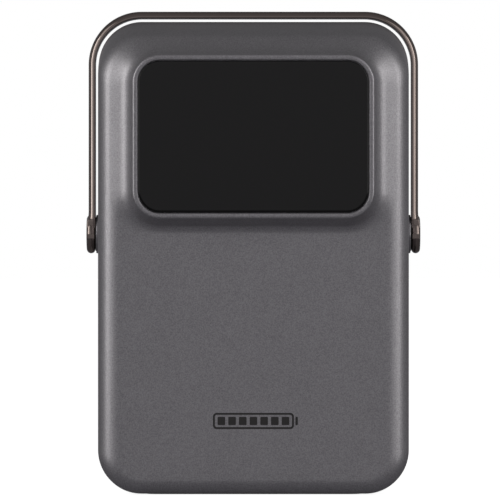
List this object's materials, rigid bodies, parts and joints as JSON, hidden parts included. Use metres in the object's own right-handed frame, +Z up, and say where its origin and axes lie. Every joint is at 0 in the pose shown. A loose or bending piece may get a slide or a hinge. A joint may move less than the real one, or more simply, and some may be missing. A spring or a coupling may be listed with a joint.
{
  "type": "power station",
  "caption": "Small tall portable power station with a rounded case, a raised black display, side sockets and lamp, and a strap bail handle.",
  "frame": {"origin": "centre of the footprint on the ground, under the foot strips", "axes": "+Z up, -Y the display front, +X the socket side"},
  "size_m": [0.138, 0.088, 0.1985],
  "materials": {
    "case_grey": "satin",
    "strap_bronze": "polished",
    "display_black": "gloss",
    "panel_black": "satin",
    "socket_steel": "satin",
    "brass": "satin",
    "screw_steel": "satin",
    "rubber": "matte",
    "lamp_frost": "satin",
    "white_plastic": "satin",
    "cell_blue": "satin",
    "nickel": "satin",
    "insulation": "matte",
    "circuit_green": "gloss",
    "core_black": "matte",
    "raw_aluminium": "satin",
    "print_dark": "satin",
    "lead_red": "satin",
    "lead_black": "satin"
  },
  "bodies": {
    "station": {"battery_cell_1": "cell_blue", "battery_cell_2": "cell_blue", "battery_cell_3": "cell_blue", "battery_cell_4": "cell_blue", "battery_cell_5": "cell_blue", "battery_cell_6": "cell_blue", "battery_cell_7": "cell_blue", "battery_cell_8": "cell_blue", "battery_lead_black": "lead_black", "battery_lead_red": "lead_red", "board_standoffs": "brass", "bulk_capacitors": "raw_aluminium", "busbars_front": "nickel", "busbars_rear": "nickel", "button_switches": "panel_black", "case_screws": "screw_steel", "cell_holder_front": "panel_black", "cell_holder_rear": "panel_black", "charge_mark": "print_dark", "cover_seal": "rubber", "dc_inlet": "panel_black", "dc_inlet_pin": "socket_steel", "display_board": "circuit_green", "display_cable": "white_plastic", "display_frame": "panel_black", "display_lens": "display_black", "display_module": "display_black", "foot_strips": "rubber", "friction_washers": "screw_steel", "front_cover": "case_grey", "guard_board": "circuit_green", "heat_spreader": "raw_aluminium", "insulation_sheets": "insulation", "lamp_board": "circuit_green", "lamp_button_spring": "socket_steel", "lamp_lens": "lamp_frost", "lamp_reflector": "white_plastic", "lens_gasket": "rubber", "main_board": "circuit_green", "pivot_bosses": "case_grey", "pivot_clips": "screw_steel", "pivot_pin_left": "screw_steel", "pivot_pin_right": "screw_steel", "port_board": "circuit_green", "port_panel": "panel_black", "power_button_spring": "socket_steel", "power_inductors": "core_black", "rear_cover": "case_grey", "threaded_inserts": "brass", "usb_a_port_1": "socket_steel", "usb_a_port_2": "socket_steel", "usb_a_tongues": "panel_black", "usb_c_port_1": "socket_steel", "usb_c_port_2": "socket_steel", "usb_c_port_3": "socket_steel", "usb_c_tongues": "panel_black"},
    "handle": {"handle_bail": "strap_bronze", "hub_caps": "strap_bronze"},
    "power_key": {"power_button": "panel_black"},
    "lamp_key": {"lamp_button": "panel_black"}
  },
  "joints": [
    {"name": "handle_swing", "type": "hinge", "parent": "station", "child": "handle", "pos_m": [0, 0.0035, 0.1066], "axis": [1, 0, 0], "range_deg": [-145, 145]},
    {"name": "power_button_press", "type": "slide", "parent": "station", "child": "power_key", "axis": [-1, 0, 0], "range_m": [0, 0.0008], "stiffness_N_per_m": 900, "springref_m": -0.0008, "deforming": ["power_button_spring"]},
    {"name": "lamp_button_press", "type": "slide", "parent": "station", "child": "lamp_key", "axis": [1, 0, 0], "range_m": [0, 0.0008], "stiffness_N_per_m": 900, "springref_m": -0.0008, "deforming": ["lamp_button_spring"]}
  ]
}
